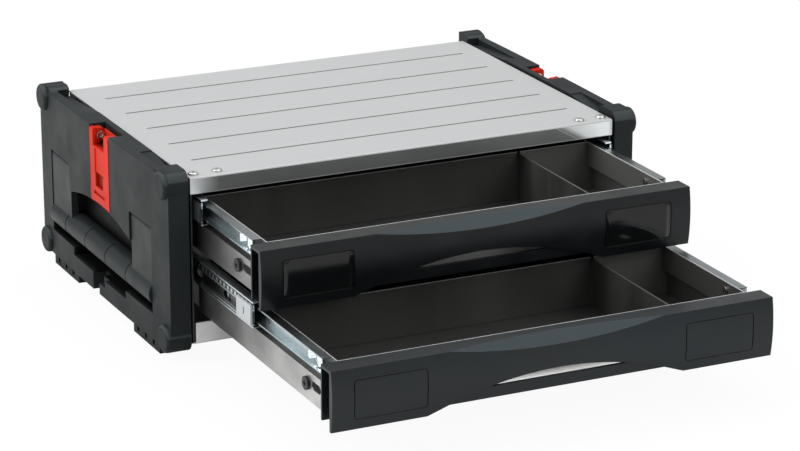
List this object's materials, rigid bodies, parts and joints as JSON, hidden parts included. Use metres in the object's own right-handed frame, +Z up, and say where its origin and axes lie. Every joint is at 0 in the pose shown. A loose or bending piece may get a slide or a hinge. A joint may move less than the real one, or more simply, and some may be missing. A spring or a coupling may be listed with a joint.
{
  "type": "two-drawer organizer case",
  "caption": "Wide low steel case with sliding drawers between moulded end panels, with folding bail handles and lift-up latches for joining cases in a stack.",
  "frame": {"origin": "on the floor, under the middle of the whole box with its drawers open as pictured", "axes": "+X to the user's right, +Y from the drawer fronts to the back, +Z up"},
  "size_m": [0.44, 0.5824, 0.165],
  "materials": {
    "panel_plastic": "fine grained moulding",
    "handle_plastic": "fine grained moulding",
    "latch_plastic": "satin moulding",
    "cabinet_steel": "galvanised sheet",
    "tray_steel": "bright rolled sheet, dark inside",
    "front_plastic": "fine grained moulding",
    "slide_steel": "zinc plated",
    "cage_steel": "zinc plated strip",
    "ball_steel": "polished",
    "stop_plastic": "satin",
    "zinc_screw": "zinc plated",
    "black_screw": "satin moulding"
  },
  "bodies": {
    "cabinet": {"left_panel": "panel_plastic", "right_panel": "panel_plastic", "left_handle_pins": "zinc_screw", "right_handle_pins": "zinc_screw", "left_latch_screws": "zinc_screw", "right_latch_screws": "zinc_screw", "panel_screws": "zinc_screw", "top_sheet": "cabinet_steel", "bottom_sheet": "cabinet_steel", "left_side_sheet": "cabinet_steel", "right_side_sheet": "cabinet_steel", "back_sheet": "cabinet_steel", "top_screws": "zinc_screw", "upper_left_cabinet_rail": "slide_steel", "upper_right_cabinet_rail": "slide_steel", "lower_left_cabinet_rail": "slide_steel", "lower_right_cabinet_rail": "slide_steel"},
    "upper_drawer": {"upper_tray": "tray_steel", "upper_cross_divider": "tray_steel", "upper_divider": "tray_steel", "upper_front": "front_plastic", "upper_front_screws": "zinc_screw", "upper_slide_screws": "zinc_screw", "upper_side_screws": "black_screw", "upper_left_drawer_rail": "slide_steel", "upper_right_drawer_rail": "slide_steel"},
    "upper_middle_rails": {"upper_left_middle_rail": "slide_steel", "upper_right_middle_rail": "slide_steel", "upper_left_end_stop": "stop_plastic", "upper_right_end_stop": "stop_plastic"},
    "upper_inner_cages": {"upper_left_inner_cage": "cage_steel", "upper_right_inner_cage": "cage_steel", "upper_left_inner_balls": "ball_steel", "upper_right_inner_balls": "ball_steel"},
    "upper_outer_cages": {"upper_left_outer_cage": "cage_steel", "upper_right_outer_cage": "cage_steel"},
    "lower_drawer": {"lower_tray": "tray_steel", "lower_cross_divider": "tray_steel", "lower_divider": "tray_steel", "lower_front": "front_plastic", "lower_front_screws": "zinc_screw", "lower_slide_screws": "zinc_screw", "lower_side_screws": "black_screw", "lower_left_drawer_rail": "slide_steel", "lower_right_drawer_rail": "slide_steel"},
    "lower_middle_rails": {"lower_left_middle_rail": "slide_steel", "lower_right_middle_rail": "slide_steel", "lower_left_end_stop": "stop_plastic", "lower_right_end_stop": "stop_plastic"},
    "lower_inner_cages": {"lower_left_inner_cage": "cage_steel", "lower_right_inner_cage": "cage_steel", "lower_left_inner_balls": "ball_steel", "lower_right_inner_balls": "ball_steel"},
    "lower_outer_cages": {"lower_left_outer_cage": "cage_steel", "lower_right_outer_cage": "cage_steel"},
    "left_handle_bail": {"left_handle": "handle_plastic"},
    "left_latch_lever": {"left_latch": "latch_plastic"},
    "right_handle_bail": {"right_handle": "handle_plastic"},
    "right_latch_lever": {"right_latch": "latch_plastic"}
  },
  "joints": [
    {"name": "upper_drawer_slide", "type": "slide", "parent": "cabinet", "child": "upper_drawer", "axis": [0, -1, 0], "range_m": [-0.137, 0.133]},
    {"name": "upper_middle_rails_slide", "type": "slide", "parent": "cabinet", "child": "upper_middle_rails", "axis": [0, -1, 0], "range_m": [-0.069, 0.067]},
    {"name": "upper_inner_cages_slide", "type": "slide", "parent": "cabinet", "child": "upper_inner_cages", "axis": [0, -1, 0], "range_m": [-0.10325, 0.10025]},
    {"name": "upper_outer_cages_slide", "type": "slide", "parent": "cabinet", "child": "upper_outer_cages", "axis": [0, -1, 0], "range_m": [-0.03475, 0.03375]},
    {"name": "lower_drawer_slide", "type": "slide", "parent": "cabinet", "child": "lower_drawer", "axis": [0, -1, 0], "range_m": [-0.27, 0]},
    {"name": "lower_middle_rails_slide", "type": "slide", "parent": "cabinet", "child": "lower_middle_rails", "axis": [0, -1, 0], "range_m": [-0.1355, 0.0005]},
    {"name": "lower_inner_cages_slide", "type": "slide", "parent": "cabinet", "child": "lower_inner_cages", "axis": [0, -1, 0], "range_m": [-0.203, 0.0005]},
    {"name": "lower_outer_cages_slide", "type": "slide", "parent": "cabinet", "child": "lower_outer_cages", "axis": [0, -1, 0], "range_m": [-0.068, 0.0005]},
    {"name": "left_handle_hinge", "type": "hinge", "parent": "cabinet", "child": "left_handle_bail", "pos_m": [-0.21275, 0.141, 0.10475], "axis": [0, 1, 0], "range_deg": [0, 90]},
    {"name": "left_latch_hinge", "type": "hinge", "parent": "cabinet", "child": "left_latch_lever", "pos_m": [-0.2115, 0.13425, 0.153], "axis": [0, 1, 0], "range_deg": [0, 85]},
    {"name": "right_handle_hinge", "type": "hinge", "parent": "cabinet", "child": "right_handle_bail", "pos_m": [0.21275, 0.141, 0.10475], "axis": [0, -1, 0], "range_deg": [0, 90]},
    {"name": "right_latch_hinge", "type": "hinge", "parent": "cabinet", "child": "right_latch_lever", "pos_m": [0.2115, 0.13425, 0.153], "axis": [0, -1, 0], "range_deg": [0, 85]}
  ],
  "couplings": [
    {"joint": "upper_middle_rails_slide", "follows": "upper_drawer_slide", "ratio": 0.5},
    {"joint": "upper_inner_cages_slide", "follows": "upper_drawer_slide", "ratio": 0.75},
    {"joint": "upper_outer_cages_slide", "follows": "upper_drawer_slide", "ratio": 0.25},
    {"joint": "lower_middle_rails_slide", "follows": "lower_drawer_slide", "ratio": 0.5},
    {"joint": "lower_inner_cages_slide", "follows": "lower_drawer_slide", "ratio": 0.75},
    {"joint": "lower_outer_cages_slide", "follows": "lower_drawer_slide", "ratio": 0.25}
  ]
}
